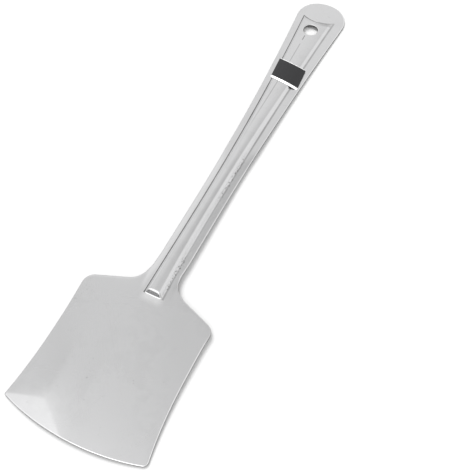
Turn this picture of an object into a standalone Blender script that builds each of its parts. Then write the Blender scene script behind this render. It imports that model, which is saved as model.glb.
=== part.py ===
"""Kitchen turner pressed from one steel sheet, with a blank label on its handle.

Units are metres and +Z is up. The turner lies on the plane z = 0 with its handle along +Y.
A place along it is a station, counted from the middle of the blade's tip, and a place across
it is x. The origin is on that plane, halfway along and in the middle of the width.

The sheet is one surface of height over stations and x: the blade's crown and rise, the
handle's gentle fall, the flanges' droop and the raised rib. Solidify gives it its gauge.
"""

import math

import bmesh
import bpy
import numpy as np

# The whole sheet
OVERALL_LENGTH = 0.3000
SHEET_GAUGE = 0.0012

# Blade outline
BLADE_LENGTH = 0.0732
TIP_WIDTH = 0.0762
WAIST_WIDTH_SHARE = 0.898
SHOULDER_WIDTH_SHARE = 0.924
WAIST_STATION_SHARE = 0.642
FLARE_POWER = 2.4
TIP_ARC_RADIUS = 0.1310
TIP_CORNER_RADIUS = 0.0030
SHOULDER_CORNER_RADIUS = 0.0062
SHOULDER_ANGLE = math.radians(20.4)
NECK_FILLET_RADIUS = 0.0115

# Handle outline
NECK_WIDTH = 0.0163
HANDLE_WAIST_WIDTH = 0.0160
HANDLE_WAIST_FROM_NECK = 0.0384
HANDLE_END_WIDTH = 0.0289
HANDLE_FLARE_POWER = 2.0
END_ROUNDING_LENGTH = 0.0153
END_ROUNDING_POWER = 2.12
TRIM_ASIDE = 0.0004

# Heights of the upper face above the gauge, with the turner lying on a table
BLADE_CROWN = 0.0008
NECK_HEIGHT = 0.0026
FLANGE_DROOP = 0.0006
DROOP_POWER = 1.6
DROOP_FADE_SHARE = 0.33

# Raised rib
RIB_START_BEFORE_NECK = 0.0140
RIB_END_MARGIN = 0.0167
RIB_START_WIDTH = 0.0096
RIB_WAIST_WIDTH = 0.0089
RIB_END_WIDTH = 0.0192
RIB_HEIGHT = 0.0024
RIB_CROWN = 0.0009
RIB_WALL_ANGLE = math.radians(56.0)
RIB_FRONT_WALL_ANGLE = math.radians(66.0)
RIB_FOOT_RADIUS = 0.0005
RIB_SHOULDER_RADIUS = 0.0018
FISHTAIL_RADIUS = 0.0200
RIB_END_ASIDE = -0.0010

# Hanging hole
HOLE_DIAMETER = 0.0087
HOLE_FROM_RIB_END = 0.0106
HOLE_SIDES = 40
CUT_OVERRUN = 0.0040

# Label on the rib
LABEL_WIDTH = 0.0177
LABEL_HEIGHT = 0.0160
LABEL_THICKNESS = 0.0003
LABEL_CORNER_RADIUS = 0.0006
LABEL_FROM_RIB_END = 0.0497
LABEL_ASIDE = 0.0016
LABEL_END_SLANT = math.radians(-9.0)
LABEL_SIDE_LEAN = math.radians(-3.5)
LABEL_SAG_SHARE = 0.3
LABEL_GAP = 0.0003

# How finely each stretch is divided
BLADE_COLUMN_SHARES = (0.14, 0.30, 0.46, 0.60, 0.72, 0.81, 0.875, 0.925, 0.96, 0.985, 1.0)
FLANGE_COLUMN_SHARES = (0.30, 0.62, 0.82, 0.94, 1.0)
TOP_COLUMN_SHARES = (0.0, 0.34, 0.68)
WALL_COLUMN_SHARES = (1.0, 0.78, 0.56, 0.30, 0.14, 0.0)
BLADE_ROW_SHARES = (0.0, 0.012, 0.035, 0.08, 0.15, 0.25, 0.38, 0.52, 0.66, 0.80, 0.90, 0.96)
WALL_ROW_SHARES = (0.0, 0.14, 0.30, 0.56, 0.78, 1.0)
NECK_ROW_SHARES = (0.25, 0.60, 1.0)
HANDLE_ROWS = 22
PAD_ROW_SHARES = (0.30, 0.65, 1.0)
LABEL_COLUMNS = 10

STEEL_COLOUR = (0.62, 0.62, 0.63, 1.0)
STEEL_ROUGHNESS = 0.32
LABEL_COLOUR = (0.015, 0.015, 0.017, 1.0)
LABEL_ROUGHNESS = 0.45

WAIST_WIDTH = TIP_WIDTH * WAIST_WIDTH_SHARE
SHOULDER_WIDTH = TIP_WIDTH * SHOULDER_WIDTH_SHARE
BLADE_WAIST_STATION = BLADE_LENGTH * WAIST_STATION_SHARE
SHOULDER_RISE = (SHOULDER_WIDTH - NECK_WIDTH) / 2 - NECK_FILLET_RADIUS
NECK_REACH = NECK_FILLET_RADIUS + SHOULDER_RISE * math.sin(SHOULDER_ANGLE)
NECK_STATION = BLADE_LENGTH + NECK_REACH / math.cos(SHOULDER_ANGLE)
RIB_START_STATION = NECK_STATION - RIB_START_BEFORE_NECK
HANDLE_WAIST_STATION = NECK_STATION + HANDLE_WAIST_FROM_NECK
FISHTAIL_STATION = OVERALL_LENGTH - RIB_END_MARGIN
LABEL_STATION = FISHTAIL_STATION - LABEL_FROM_RIB_END
END_ROUNDING_STATION = OVERALL_LENGTH - END_ROUNDING_LENGTH


def clear_scene():
    """Remove every object that the scene starts with."""
    for item in list(bpy.data.objects):
        bpy.data.objects.remove(item, do_unlink=True)


def finish_material(name, colour, roughness, metallic):
    """Return a Principled material with one colour, roughness and metallic value."""
    material = bpy.data.materials.new(name)
    material.use_nodes = True
    shader = material.node_tree.nodes["Principled BSDF"]
    shader.inputs["Base Color"].default_value = colour
    shader.inputs["Roughness"].default_value = roughness
    shader.inputs["Metallic"].default_value = metallic
    return material


def blade_half_width(station):
    """Return the blade's half width, which flares from its waist to the tip and shoulders."""
    station = np.asarray(station, float)
    to_tip = np.clip(1 - station / BLADE_WAIST_STATION, 0.0, None)
    upper_length = BLADE_LENGTH - BLADE_WAIST_STATION
    to_shoulder = np.clip((station - BLADE_WAIST_STATION) / upper_length, 0.0, 1.0)
    waist = WAIST_WIDTH / 2
    tip_flare = (TIP_WIDTH / 2 - waist) * to_tip ** FLARE_POWER
    shoulder_flare = (SHOULDER_WIDTH / 2 - waist) * to_shoulder ** FLARE_POWER
    return waist + tip_flare + shoulder_flare


def handle_half_width(station):
    """Return the handle's half width, as if its round end went on with straight sides."""
    waist = HANDLE_WAIST_WIDTH / 2
    towards_neck = (NECK_WIDTH / 2 - waist) * share_before_waist(station, NECK_STATION)
    towards_end = (HANDLE_END_WIDTH / 2 - waist) * share_after_waist(station, END_ROUNDING_STATION)
    return waist + towards_neck + towards_end


def share_before_waist(station, first):
    """Return how far a width has grown from the handle's waist towards the first station."""
    reach = HANDLE_WAIST_STATION - first
    return np.clip((HANDLE_WAIST_STATION - station) / reach, 0.0, 1.0) ** HANDLE_FLARE_POWER


def share_after_waist(station, last):
    """Return how far a width has grown from the handle's waist towards the last station."""
    reach = last - HANDLE_WAIST_STATION
    return np.clip((station - HANDLE_WAIST_STATION) / reach, 0.0, None) ** HANDLE_FLARE_POWER


def tip_line(x):
    """Return the station of the blade's tip at x: one wide arc with a round at each corner."""
    arc = TIP_ARC_RADIUS - np.sqrt(TIP_ARC_RADIUS ** 2 - x ** 2)
    past = np.clip(np.abs(x) - (TIP_WIDTH / 2 - TIP_CORNER_RADIUS), 0.0, TIP_CORNER_RADIUS)
    corner = TIP_CORNER_RADIUS - np.sqrt(TIP_CORNER_RADIUS ** 2 - past ** 2)
    return arc + corner


def back_line(x):
    """Return the station of the blade's back edge: neck, fillet, sloping shoulder, round corner."""
    aside = np.abs(x)
    half = SHOULDER_WIDTH / 2
    slope_sine = math.sin(SHOULDER_ANGLE)
    slope_cosine = math.cos(SHOULDER_ANGLE)
    line = BLADE_LENGTH + (half - aside) * math.tan(SHOULDER_ANGLE)
    corner_centre = half - SHOULDER_CORNER_RADIUS
    corner_low = BLADE_LENGTH - SHOULDER_CORNER_RADIUS * (1 - slope_sine) / slope_cosine
    past = np.clip(aside - corner_centre, 0.0, SHOULDER_CORNER_RADIUS)
    corner = corner_low + np.sqrt(SHOULDER_CORNER_RADIUS ** 2 - past ** 2)
    line = np.where(aside > corner_centre + SHOULDER_CORNER_RADIUS * slope_sine, corner, line)
    fillet_centre = NECK_WIDTH / 2 + NECK_FILLET_RADIUS
    short = np.clip(fillet_centre - aside, 0.0, NECK_FILLET_RADIUS)
    fillet = NECK_STATION - np.sqrt(NECK_FILLET_RADIUS ** 2 - short ** 2)
    line = np.where(aside < fillet_centre - NECK_FILLET_RADIUS * slope_sine, fillet, line)
    return np.where(aside <= NECK_WIDTH / 2, NECK_STATION, line)


def end_line(x, half):
    """Return the station of the handle's round end at x, for sides that stand at half."""
    share = np.clip(np.abs(x) / half, 0.0, 1.0)
    power = END_ROUNDING_POWER
    return END_ROUNDING_STATION + END_ROUNDING_LENGTH * (1 - share ** power) ** (1 / power)


def fishtail_line(aside):
    """Return the station of the concave line where the rib ends, at a distance from its middle."""
    return FISHTAIL_STATION + FISHTAIL_RADIUS - np.sqrt(FISHTAIL_RADIUS ** 2 - aside ** 2)


def rib_half_width(station):
    """Return the half width of the rib at its foot."""
    waist = RIB_WAIST_WIDTH / 2
    towards_blade = (RIB_START_WIDTH / 2 - waist) * share_before_waist(station, RIB_START_STATION)
    towards_end = (RIB_END_WIDTH / 2 - waist) * share_after_waist(station, FISHTAIL_STATION)
    return waist + towards_blade + towards_end


def rib_middle(station):
    """Return x of the rib's middle, which drifts aside on its way to the end pad."""
    return RIB_END_ASIDE * share_after_waist(station, FISHTAIL_STATION)


def trim_shift(station, x):
    """Return how far the sheet reaches aside of its rib's axis, as its sides are trimmed.

    Along the turner it is a parabola between the blade's waist and the end pad, with the
    whole shift halfway. Across it, the shift grows evenly from the rib's foot to the side.
    """
    share = (station - BLADE_WAIST_STATION) / (FISHTAIL_STATION - BLADE_WAIST_STATION)
    share = np.clip(share, 0.0, 1.0)
    aside = np.abs(x - rib_middle(station))
    foot = rib_half_width(station)
    outside = np.clip((aside - foot) / (handle_half_width(station) - foot), 0.0, 1.0)
    return 4 * TRIM_ASIDE * share * (1 - share) * outside


def wall_run(angle):
    """Return how far a pressed wall reaches inwards from its foot line to its level top."""
    rounds = (RIB_FOOT_RADIUS + RIB_SHOULDER_RADIUS) * (1 - math.cos(angle))
    straight = (RIB_HEIGHT - rounds) / math.tan(angle)
    return (RIB_FOOT_RADIUS + RIB_SHOULDER_RADIUS) * math.sin(angle) + straight


def wall_height(inside, angle):
    """Return a wall's height at a distance inside its foot line.

    The wall starts with a concave foot round, climbs straight at its angle and turns level
    over a convex shoulder round.
    """
    foot_reach = RIB_FOOT_RADIUS * math.sin(angle)
    shoulder_reach = RIB_SHOULDER_RADIUS * math.sin(angle)
    run = wall_run(angle)
    low = np.clip(inside, 0.0, foot_reach)
    foot = RIB_FOOT_RADIUS - np.sqrt(RIB_FOOT_RADIUS ** 2 - low ** 2)
    straight = np.clip(inside - foot_reach, 0.0, run - foot_reach - shoulder_reach) * math.tan(angle)
    left = np.clip(run - inside, 0.0, shoulder_reach)
    drop = RIB_SHOULDER_RADIUS - np.sqrt(RIB_SHOULDER_RADIUS ** 2 - left ** 2)
    shoulder = RIB_SHOULDER_RADIUS * (1 - math.cos(angle)) - drop
    return foot + straight + shoulder


def rib_height(station, x):
    """Return the rib's height: the lowest of its side, front and fishtail walls, and a crown."""
    half = rib_half_width(station)
    aside = np.abs(x - rib_middle(station))
    sides = wall_height(half - aside, RIB_WALL_ANGLE)
    front = wall_height(station - RIB_START_STATION, RIB_FRONT_WALL_ANGLE)
    tail = wall_height(fishtail_line(np.minimum(aside, RIB_END_WIDTH / 2)) - station, RIB_WALL_ANGLE)
    walls = np.minimum(np.minimum(sides, front), tail)
    crown = RIB_CROWN * np.clip(1 - (aside / half) ** 2, 0.0, 1.0)
    return walls * (1 + crown / RIB_HEIGHT)


def fall_share(station):
    """Return the share of the neck's height that is left at a station along the handle."""
    return np.clip((FISHTAIL_STATION - station) / (FISHTAIL_STATION - NECK_STATION), 0.0, 1.0)


def base_height(station, x):
    """Return the height of the sheet without its rib, above its place on the table."""
    tip = tip_line(np.clip(x, -TIP_WIDTH / 2, TIP_WIDTH / 2))
    along = np.clip((station - tip) / (NECK_STATION - tip), 0.0, 1.0)
    rise = (NECK_HEIGHT - BLADE_CROWN) * (1 - (1 - along) ** 2)
    across = np.clip((x / blade_half_width(station)) ** 2, 0.0, 1.0)
    blade = rise + BLADE_CROWN * (1 - across)
    handle = fall_share(station) * (NECK_HEIGHT - BLADE_CROWN * (2 * x / SHOULDER_WIDTH) ** 2)
    return np.where(station <= NECK_STATION, blade, handle)


def droop(station, x):
    """Return how far the handle's flanges bend down outside the rib."""
    aside = np.abs(x - rib_middle(station))
    foot = rib_half_width(station)
    flange = handle_half_width(station) - foot
    outwards = np.clip((aside - foot) / flange, 0.0, 1.0) ** DROOP_POWER
    onset = np.clip((station - RIB_START_STATION) / RIB_START_BEFORE_NECK, 0.0, 1.0)
    easing = np.clip(fall_share(station) / DROOP_FADE_SHARE, 0.0, 1.0)
    return FLANGE_DROOP * outwards * onset * easing


def face_height(station, x):
    """Return the height of the sheet's upper face above the table."""
    return SHEET_GAUGE + base_height(station, x) + rib_height(station, x) - droop(station, x)


def side_columns(station, side):
    """Return x of the handle's columns on one side, from the rib's middle to the edge."""
    half = rib_half_width(station)[..., None]
    middle = side * rib_middle(station)[..., None]
    edge = handle_half_width(station)[..., None]
    run = wall_run(RIB_WALL_ANGLE)
    top = middle + (half - run) * np.array(TOP_COLUMN_SHARES)
    wall = middle + half - run * np.array(WALL_COLUMN_SHARES)
    flange = middle + half + (edge - middle - half) * np.array(FLANGE_COLUMN_SHARES)
    return side * np.concatenate([top, wall, flange], axis=-1)


def handle_columns(station):
    """Return x of all the handle's columns at each station, from the left edge to the right."""
    left = side_columns(station, -1)
    right = side_columns(station, 1)
    return np.concatenate([left[..., :0:-1], right], axis=-1)


def blade_grid():
    """Return the blade's stations and x on a grid, from the tip to the back edge."""
    neck_half = NECK_WIDTH / 2
    outer = neck_half + (SHOULDER_WIDTH / 2 - neck_half) * np.array(BLADE_COLUMN_SHARES)
    across = np.concatenate([-outer[::-1], handle_columns(np.array(NECK_STATION)), outer])
    share = across / (SHOULDER_WIDTH / 2)
    front_run = wall_run(RIB_FRONT_WALL_ANGLE)
    blade_rows = np.array(BLADE_ROW_SHARES) * RIB_START_STATION
    wall_rows = RIB_START_STATION + front_run * np.array(WALL_ROW_SHARES)
    neck_rows = wall_rows[-1] + (NECK_STATION - wall_rows[-1]) * np.array(NECK_ROW_SHARES)
    along = np.concatenate([blade_rows, wall_rows, neck_rows])[:, None] / NECK_STATION
    back = back_line(across)[None, :]
    tip = tip_line(share * TIP_WIDTH / 2)[None, :]
    station = tip + along * (back - tip)
    x = share[None, :] * blade_half_width(station)
    keep_rib = np.abs(across[None, :]) <= neck_half
    return station, np.where(keep_rib, across[None, :], x)


def handle_grid():
    """Return the handle's stations and x on a grid, from past the neck to the round end."""
    tail_run = wall_run(RIB_WALL_ANGLE)
    ends = handle_columns(np.array(FISHTAIL_STATION))
    half_end = ends[-1]
    aside = np.abs(ends - RIB_END_ASIDE)
    outside = np.clip((aside - RIB_END_WIDTH / 2) / (half_end - RIB_END_WIDTH / 2), 0.0, 1.0)
    tail_foot = fishtail_line(np.minimum(aside, RIB_END_WIDTH / 2))
    tail_foot = tail_foot + (END_ROUNDING_STATION - SHEET_GAUGE - tail_foot) * outside
    tail_top = tail_foot - tail_run
    body_shares = np.arange(1, HANDLE_ROWS + 1) / HANDLE_ROWS
    rows = [NECK_STATION + (tail_top - NECK_STATION) * share for share in body_shares]
    rows += [tail_top + tail_run * share for share in WALL_ROW_SHARES[1:]]
    outline = end_line(ends, half_end)
    rows += [tail_foot + (outline - tail_foot) * share for share in PAD_ROW_SHARES]
    station = np.array(rows)
    every_column = handle_columns(station)
    own = np.arange(station.shape[1])
    return station, every_column[:, own, own]


def grid_faces(rows, columns, first=0):
    """Return the quads of a grid whose vertices are numbered row by row."""
    corner = first + np.arange(rows - 1)[:, None] * columns + np.arange(columns - 1)[None, :]
    quads = np.stack([corner, corner + 1, corner + columns + 1, corner + columns], axis=-1)
    return quads.reshape(-1, 4)


def sheet_mesh():
    """Build the upper face of the sheet as one mesh of two grids that share the neck row."""
    blade_station, blade_x = blade_grid()
    handle_station, handle_x = handle_grid()
    count = blade_x.shape[1]
    inner = handle_x.shape[1]
    start = (count - inner) // 2
    blade_rows = blade_x.shape[0]
    station = np.concatenate([blade_station.ravel(), handle_station.ravel()])
    x = np.concatenate([blade_x.ravel(), handle_x.ravel()])
    trimmed = x + trim_shift(station, x)
    place = [trimmed, station - OVERALL_LENGTH / 2, face_height(station, x)]
    points = np.stack(place, axis=-1)
    first = blade_x.size
    faces = [grid_faces(blade_rows, count), grid_faces(handle_x.shape[0], inner, first)]
    neck_row = (blade_rows - 1) * count + start + np.arange(inner)
    next_row = first + np.arange(inner)
    faces.append(np.stack([neck_row[:-1], neck_row[1:], next_row[1:], next_row[:-1]], axis=-1))
    mesh = bpy.data.meshes.new("turner_body")
    mesh.from_pydata(points.tolist(), [], np.concatenate(faces).tolist())
    mesh.update()
    return mesh


def add_object(name, mesh, material):
    """Link a mesh as an object with its material."""
    item = bpy.data.objects.new(name, mesh)
    mesh.materials.append(material)
    bpy.context.scene.collection.objects.link(item)
    return item


def hole_cutter():
    """Build the round cutter of the hanging hole."""
    station = FISHTAIL_STATION - HOLE_FROM_RIB_END
    depth = SHEET_GAUGE + RIB_HEIGHT + RIB_CROWN + NECK_HEIGHT + 2 * CUT_OVERRUN
    shape = bmesh.new()
    radii = {"radius1": HOLE_DIAMETER / 2, "radius2": HOLE_DIAMETER / 2}
    bmesh.ops.create_cone(shape, cap_ends=True, segments=HOLE_SIDES, depth=depth, **radii)
    mesh = bpy.data.meshes.new("hanging_hole_cutter")
    shape.to_mesh(mesh)
    shape.free()
    cutter = bpy.data.objects.new("hanging_hole_cutter", mesh)
    middle = float(rib_middle(station))
    cutter.location = (middle, station - OVERALL_LENGTH / 2, depth / 2 - CUT_OVERRUN)
    cutter.hide_render = True
    cutter.display_type = "WIRE"
    bpy.context.scene.collection.objects.link(cutter)
    return cutter


def make_body():
    """Make the pressed sheet with its gauge and its hanging hole."""
    steel = finish_material("stainless_steel", STEEL_COLOUR, STEEL_ROUGHNESS, 1.0)
    body = add_object("turner_body", sheet_mesh(), steel)
    gauge = body.modifiers.new("gauge", "SOLIDIFY")
    gauge.thickness = SHEET_GAUGE
    gauge.offset = -1.0
    gauge.use_even_offset = True
    hole = body.modifiers.new("hanging hole", "BOOLEAN")
    hole.operation = "DIFFERENCE"
    hole.solver = "EXACT"
    hole.object = hole_cutter()
    body.data.shade_smooth()
    return body


def make_label():
    """Make the blank label: a film slanted on the handle and bent over the rib's crown."""
    across_half = LABEL_WIDTH / 2
    radius = LABEL_CORNER_RADIUS
    across = across_half * np.sin(np.linspace(-math.pi / 2, math.pi / 2, LABEL_COLUMNS + 1))
    past = np.clip(np.abs(across) - (across_half - radius), 0.0, radius)
    half_length = LABEL_HEIGHT / 2 - radius + np.sqrt(radius ** 2 - past ** 2)
    rows = np.array([-1.0, 1.0])[:, None] * half_length[None, :]
    station = LABEL_STATION + rows + across[None, :] * math.tan(LABEL_END_SLANT)
    x = LABEL_ASIDE + across[None, :] + rows * math.tan(LABEL_SIDE_LEAN)
    middle = rib_middle(station)
    sag = LABEL_SAG_SHARE * RIB_CROWN * ((x - middle) / rib_half_width(station)) ** 2
    height = face_height(station, middle) - sag + LABEL_GAP + LABEL_THICKNESS
    place = [x, station - OVERALL_LENGTH / 2, height]
    points = np.stack([axis.ravel() for axis in place], axis=-1)
    mesh = bpy.data.meshes.new("label")
    mesh.from_pydata(points.tolist(), [], grid_faces(*x.shape).tolist())
    mesh.update()
    print_finish = finish_material("label_print", LABEL_COLOUR, LABEL_ROUGHNESS, 0.0)
    label = add_object("label", mesh, print_finish)
    film = label.modifiers.new("film", "SOLIDIFY")
    film.thickness = LABEL_THICKNESS
    film.offset = -1.0
    return label


def main():
    """Build the turner."""
    clear_scene()
    make_body()
    make_label()


main()
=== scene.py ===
"""Looks of a kitchen turner that is pressed from one steel sheet, with a blank label on it.

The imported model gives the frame: metres, +Z up, the turner lying on z = 0 with its handle
along +Y and the origin halfway along it. A place along the turner is a station, counted
from the middle of the blade's tip, and a place across it is x, as on a shop drawing.
"""

import logging
import math
from collections.abc import Sequence
from dataclasses import dataclass, field, replace
from enum import Enum
from functools import partial, reduce

import bpy
import numpy as np
from mathutils import Matrix


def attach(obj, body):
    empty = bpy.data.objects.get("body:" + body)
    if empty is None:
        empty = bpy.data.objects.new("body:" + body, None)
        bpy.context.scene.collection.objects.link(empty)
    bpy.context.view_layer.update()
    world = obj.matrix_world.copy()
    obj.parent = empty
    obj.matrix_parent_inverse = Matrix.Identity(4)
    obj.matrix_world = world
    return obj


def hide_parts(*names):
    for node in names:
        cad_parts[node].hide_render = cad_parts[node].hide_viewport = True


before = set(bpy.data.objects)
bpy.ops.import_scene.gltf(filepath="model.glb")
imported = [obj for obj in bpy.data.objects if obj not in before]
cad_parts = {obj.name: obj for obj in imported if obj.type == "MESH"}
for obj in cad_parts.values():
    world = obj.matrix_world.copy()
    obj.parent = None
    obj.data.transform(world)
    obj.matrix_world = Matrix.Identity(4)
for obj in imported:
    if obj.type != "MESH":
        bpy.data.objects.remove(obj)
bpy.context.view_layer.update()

MM_PER_M = 1000.0

log = logging.getLogger("turner")

Array = np.ndarray
Value = float | bpy.types.NodeSocket
Colour = tuple[float, float, float, float]

# A band: where a stretch starts, where it is full, where it starts to fade and where it ends
Band = tuple[float, float, float, float]

# A ramp: the two ends of a span, and the values held before and past them
Ramp = tuple[float, float, float, float]


class Slot(Enum):
    """Material slots of the record."""

    STEEL = "stainless_steel"
    LABEL = "label"


class Node(Enum):
    """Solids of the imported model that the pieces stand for."""

    BODY = "turner_body"
    LABEL = "label"


def smooth_step(share: Array) -> Array:
    """Return a share eased at both ends: three squares less two cubes of it, from 0 to 1."""
    share = np.clip(share, 0.0, 1.0)
    return share * share * (3.0 - 2.0 * share)


def soft_least(first: Array, second: Array, reach: float) -> Array:
    """Return the lesser of two heights, with the ridge where they meet rounded off.

    Where the two differ by less than the reach, a quarter of the reach times the square of
    what is left of it, as a share, is taken off the lesser.

    Args:
        first: One height at each point.
        second: The other height at each point.
        reach: The difference over which the ridge is rounded.

    Returns:
        The rounded lesser height at each point.
    """
    left = np.clip(1.0 - np.abs(first - second) / reach, 0.0, 1.0)
    return np.minimum(first, second) - left * left * reach / 4.0


@dataclass(frozen=True)
class Outline:
    """The flat outline of the blank, before it is pressed.

    The blade's tip is one wide arc with a round at each corner. Its sides flare from a waist
    by a power law. Its back edge slopes, and runs into the handle in a fillet on each side.
    The handle flares from its own waist, and ends in a super-ellipse.
    """

    overall_length: float = 0.3000
    tip_station: float = -0.0005
    blade_length: float = 0.07322
    tip_width: float = 0.0767
    waist_width: float = 0.06843
    shoulder_width: float = 0.0703
    waist_station: float = 0.0470
    flare_power: float = 2.4
    tip_arc_radius: float = 0.1310
    left_corner_radius: float = 0.0009
    right_corner_radius: float = 0.0022
    shoulder_corner_radius: float = 0.0062
    shoulder_angle: float = math.radians(20.4)
    neck_fillet_radius: float = 0.0115
    neck_width: float = 0.0163
    handle_waist_width: float = 0.01625
    handle_waist_station: float = 0.12965
    handle_end_width: float = 0.0299
    handle_flare_power: float = 2.0
    end_rounding_station: float = 0.2847
    end_rounding_length: float = 0.0153
    end_rounding_power: float = 2.0

    def drawn_in(self, by: float) -> "Outline":
        """Return the outline moved inwards all round.

        Widths lose the distance on each side, outward rounds lose it from their radius, and
        the neck's fillets gain it, so every round keeps its centre.

        Args:
            by: The distance that the outline moves inwards.

        Returns:
            The smaller outline, with its places along the turner unchanged.
        """
        slope = math.tan(self.shoulder_angle) - 1.0 / math.cos(self.shoulder_angle)
        return replace(
            self,
            tip_station=self.tip_station + by,
            blade_length=self.blade_length + by * slope,
            tip_width=self.tip_width - 2 * by,
            waist_width=self.waist_width - 2 * by,
            shoulder_width=self.shoulder_width - 2 * by,
            tip_arc_radius=self.tip_arc_radius - by,
            left_corner_radius=self.left_corner_radius - by,
            right_corner_radius=self.right_corner_radius - by,
            shoulder_corner_radius=self.shoulder_corner_radius - by,
            neck_fillet_radius=self.neck_fillet_radius + by,
            neck_width=self.neck_width - 2 * by,
            handle_waist_width=self.handle_waist_width - 2 * by,
            handle_end_width=self.handle_end_width - 2 * by,
            end_rounding_length=self.end_rounding_length - by,
        )

    @property
    def neck_station(self) -> float:
        """Return the station where the neck fillets run into the handle's sides.

        Returns:
            The shoulder's station, plus what the back edge's slope and the fillet add.
        """
        rise = (self.shoulder_width - self.neck_width) / 2 - self.neck_fillet_radius
        reach = self.neck_fillet_radius + rise * math.sin(self.shoulder_angle)
        return self.blade_length + reach / math.cos(self.shoulder_angle)

    def before_waist(self, station: Array, first: float) -> Array:
        """Return how far a width has grown from the handle's waist towards the blade.

        Args:
            station: Places along the turner.
            first: The station where the width is fully grown.

        Returns:
            A power of the distance from the waist, from 0 there to 1 at the first station.
        """
        reach = self.handle_waist_station - first
        share = np.clip((self.handle_waist_station - station) / reach, 0.0, 1.0)
        return share ** self.handle_flare_power

    def after_waist(self, station: Array, last: float) -> Array:
        """Return how far a width has grown from the handle's waist towards its end.

        Args:
            station: Places along the turner.
            last: The station where the width is fully grown.

        Returns:
            A power of the distance from the waist: 0 there, 1 at the last station, and more
            past it.
        """
        reach = last - self.handle_waist_station
        share = np.clip((station - self.handle_waist_station) / reach, 0.0, None)
        return share ** self.handle_flare_power

    def blade_half_width(self, station: Array) -> Array:
        """Return the blade's half width: its waist, and what a power of the distance adds.

        Args:
            station: Places along the turner.

        Returns:
            The half width at each place.
        """
        to_tip = np.clip((self.waist_station - station) / self.waist_station, 0.0, None)
        length = self.blade_length - self.waist_station
        to_shoulder = np.clip((station - self.waist_station) / length, 0.0, 1.0)
        waist = self.waist_width / 2
        tip_flare = (self.tip_width / 2 - waist) * to_tip ** self.flare_power
        shoulder_flare = (self.shoulder_width / 2 - waist) * to_shoulder ** self.flare_power
        return waist + tip_flare + shoulder_flare

    def handle_half_width(self, station: Array) -> Array:
        """Return the handle's half width, as if its round end went on with straight sides.

        Args:
            station: Places along the turner.

        Returns:
            The half width at each place.
        """
        waist = self.handle_waist_width / 2
        to_neck = (self.neck_width / 2 - waist) * self.before_waist(station, self.neck_station)
        to_end = (self.handle_end_width / 2 - waist) * self.after_waist(
            station, self.end_rounding_station
        )
        return waist + to_neck + to_end

    def tip_line(self, x: Array) -> Array:
        """Return the line of the tip: a wide arc, and a quarter round at each corner.

        Args:
            x: Places across the blade.

        Returns:
            The tip's station at each place.
        """
        arc = self.tip_arc_radius - np.sqrt(self.tip_arc_radius**2 - x**2)
        radius = np.where(x < 0, self.left_corner_radius, self.right_corner_radius)
        past = np.clip(np.abs(x) - (self.tip_width / 2 - radius), 0.0, radius)
        return self.tip_station + arc + radius - np.sqrt(radius**2 - past**2)

    def back_line(self, x: Array) -> Array:
        """Return the line of the blade's back edge: neck, fillet, straight slope and corner.

        Each round gives way to the slope where its own slope is the same.

        Args:
            x: Places across the blade.

        Returns:
            The back edge's station at each place.
        """
        aside = np.abs(x)
        half = self.shoulder_width / 2
        sine = math.sin(self.shoulder_angle)
        slope = self.blade_length + (half - aside) * math.tan(self.shoulder_angle)
        corner_radius = self.shoulder_corner_radius
        low = self.blade_length - corner_radius * (1 - sine) / math.cos(self.shoulder_angle)
        past = np.clip(aside - (half - corner_radius), 0.0, corner_radius)
        corner = low + np.sqrt(corner_radius**2 - past**2)
        line = np.where(aside > half - corner_radius * (1 - sine), corner, slope)
        fillet_radius = self.neck_fillet_radius
        centre = self.neck_width / 2 + fillet_radius
        short = np.clip(centre - aside, 0.0, fillet_radius)
        fillet = self.neck_station - np.sqrt(fillet_radius**2 - short**2)
        line = np.where(aside < centre - fillet_radius * sine, fillet, line)
        return np.where(aside <= self.neck_width / 2, self.neck_station, line)

    def end_line(self, x: Array, half: Array) -> Array:
        """Return the line of the round end, a quarter super-ellipse on each side.

        Args:
            x: Places across the handle.
            half: The handle's half width.

        Returns:
            The end's station at each place.
        """
        share = np.clip(np.abs(x) / half, 0.0, 1.0)
        power = self.end_rounding_power
        rise = (1 - share**power) ** (1 / power)
        return self.end_rounding_station + self.end_rounding_length * rise


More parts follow.
